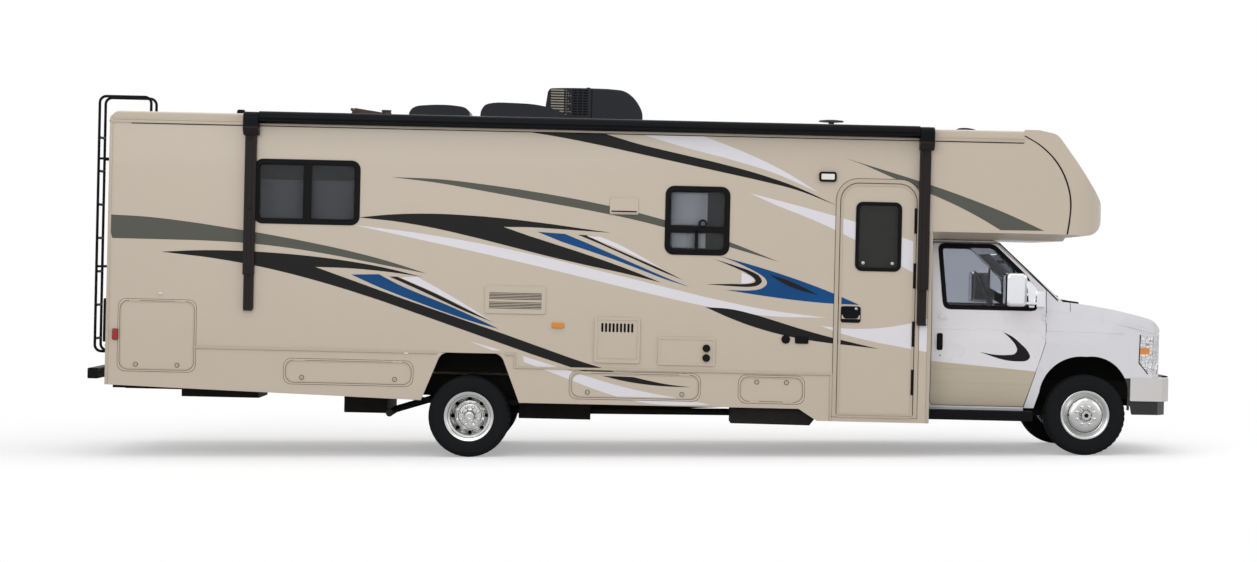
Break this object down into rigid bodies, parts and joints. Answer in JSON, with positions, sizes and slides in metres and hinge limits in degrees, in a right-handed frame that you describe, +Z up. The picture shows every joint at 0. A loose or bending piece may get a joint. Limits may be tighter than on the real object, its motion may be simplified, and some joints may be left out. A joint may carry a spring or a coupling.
{
  "type": "motorhome",
  "caption": "Class C motorhome on a cutaway van cab: hollow house with overcab bunk, hatches, awning and roof gear, twin rear tyres, steered front wheels",
  "frame": {"origin": "on the ground under the middle of the overall box", "axes": "+X forward, +Y to the vehicle's left, +Z up; the side with the entry door faces -Y"},
  "size_m": [9.9879, 2.9, 3.4374],
  "materials": {
    "coach_panel": "tan gel-coat with printed stripes",
    "coach_white": "pearl white paint",
    "interior_panel": "plain board and moulding",
    "black_steel": "satin black frame paint",
    "black_plastic": "grained moulding and coated cloth",
    "tyre_rubber": "black rubber",
    "bright_rim": "polished liner",
    "tinted_glass": "dark tinted",
    "clear_lamp": "clear lens",
    "red_lamp": "red lens",
    "bare_aluminium": "brushed tube",
    "seat_cloth": "woven cloth"
  },
  "bodies": {
    "coach": {"awning": "black_plastic", "cab_seats": "seat_cloth", "cab_shell": "coach_white", "chassis_frame": "black_steel", "dashboard": "interior_panel", "driveline": "black_steel", "engine_block": "black_steel", "exhaust_system": "black_steel", "front_axle_beams": "black_steel", "front_bumper": "coach_white", "front_fenders": "coach_white", "front_grille": "black_plastic", "front_springs": "black_steel", "generator": "black_steel", "headlamps": "clear_lamp", "house_floor": "interior_panel", "house_roof": "coach_white", "house_wall_front": "interior_panel", "house_wall_left": "coach_panel", "house_wall_rear": "coach_panel", "house_wall_right": "coach_panel", "house_windows": "tinted_glass", "leaf_springs": "black_steel", "overcab_cap": "coach_white", "rear_axle": "black_steel", "rear_bumper": "black_steel", "rear_ladder": "bare_aluminium", "roof_air_conditioner": "coach_white", "roof_vents": "black_plastic", "running_boards": "black_plastic", "side_skirts": "coach_panel", "storage_boxes": "interior_panel", "tail_lamps": "red_lamp", "under_floor_tanks": "black_steel", "wheel_houses": "black_steel", "windscreen": "tinted_glass"},
    "knuckle_right": {"knuckle_right": "black_steel"},
    "knuckle_left": {"knuckle_left": "black_steel"},
    "front_wheel_right": {"front_tyre_right": "tyre_rubber", "front_wheel_right": "bright_rim"},
    "front_wheel_left": {"front_tyre_left": "tyre_rubber", "front_wheel_left": "bright_rim"},
    "rear_wheels_right": {"rear_tyres_right": "tyre_rubber", "rear_wheels_right": "bright_rim"},
    "rear_wheels_left": {"rear_tyres_left": "tyre_rubber", "rear_wheels_left": "bright_rim"},
    "cab_door_right": {"cab_door_right": "coach_white", "door_glass_right": "tinted_glass", "mirror_right": "black_plastic"},
    "cab_door_left": {"cab_door_left": "coach_white", "door_glass_left": "tinted_glass", "mirror_left": "black_plastic"},
    "entry_door": {"entry_door": "coach_panel", "entry_door_window": "tinted_glass"},
    "hood": {"hood": "coach_white"},
    "hatch_rear": {"hatch_rear": "coach_panel"},
    "hatch_mid_rear": {"hatch_mid_rear": "coach_panel"},
    "hatch_mid_front": {"hatch_mid_front": "coach_panel"},
    "hatch_front": {"hatch_front": "coach_panel"}
  },
  "joints": [
    {"name": "steer_right", "type": "hinge", "parent": "coach", "child": "knuckle_right", "pos_m": [4.1537, -0.8, 0.372], "axis": [0, 0, 1], "range_deg": [-32, 32]},
    {"name": "steer_left", "type": "hinge", "parent": "coach", "child": "knuckle_left", "pos_m": [4.1537, 0.8, 0.372], "axis": [0, 0, 1], "range_deg": [-32, 32]},
    {"name": "front_wheel_right_spin", "type": "hinge", "parent": "knuckle_right", "child": "front_wheel_right", "pos_m": [4.1537, -0.881, 0.372], "axis": [0, 1, 0], "continuous": true},
    {"name": "front_wheel_left_spin", "type": "hinge", "parent": "knuckle_left", "child": "front_wheel_left", "pos_m": [4.1537, 0.881, 0.372], "axis": [0, 1, 0], "continuous": true},
    {"name": "rear_wheels_right_spin", "type": "hinge", "parent": "coach", "child": "rear_wheels_right", "pos_m": [-1.5133, -0.86, 0.372], "axis": [0, 1, 0], "continuous": true},
    {"name": "rear_wheels_left_spin", "type": "hinge", "parent": "coach", "child": "rear_wheels_left", "pos_m": [-1.5133, 0.86, 0.372], "axis": [0, 1, 0], "continuous": true},
    {"name": "cab_door_right_swing", "type": "hinge", "parent": "coach", "child": "cab_door_right", "pos_m": [3.79243, -1.004, 1.17908], "axis": [0.0227, 0, 0.9997], "range_deg": [0, 65]},
    {"name": "cab_door_left_swing", "type": "hinge", "parent": "coach", "child": "cab_door_left", "pos_m": [3.79243, 1.004, 1.17908], "axis": [-0.0227, 0, -0.9997], "range_deg": [0, 65]},
    {"name": "entry_door_swing", "type": "hinge", "parent": "coach", "child": "entry_door", "pos_m": [2.55651, -1.278, 1.41718], "axis": [0.0227, 0, 0.9997], "range_deg": [0, 90]},
    {"name": "hatch_rear_swing", "type": "hinge", "parent": "coach", "child": "hatch_rear", "pos_m": [-4.34448, -1.278, 1.42974], "axis": [-0.9997, 0, 0.0227], "range_deg": [0, 90]},
    {"name": "hatch_mid_rear_swing", "type": "hinge", "parent": "coach", "child": "hatch_mid_rear", "pos_m": [-2.6055, -1.278, 0.88015], "axis": [-0.9997, 0, 0.0227], "range_deg": [0, 90]},
    {"name": "hatch_mid_front_swing", "type": "hinge", "parent": "coach", "child": "hatch_mid_front", "pos_m": [0.00651, -1.278, 0.76286], "axis": [-0.9997, 0, 0.0227], "range_deg": [0, 90]},
    {"name": "hatch_front_swing", "type": "hinge", "parent": "coach", "child": "hatch_front", "pos_m": [1.24654, -1.278, 0.50766], "axis": [0.9997, 0, -0.0227], "range_deg": [0, 90]},
    {"name": "hood_lift", "type": "hinge", "parent": "coach", "child": "hood", "pos_m": [4.01734, 0, 1.41503], "axis": [0, -1, 0], "range_deg": [0, 45]}
  ],
  "couplings": [
    {"joint": "steer_left", "follows": "steer_right", "ratio": 1}
  ]
}
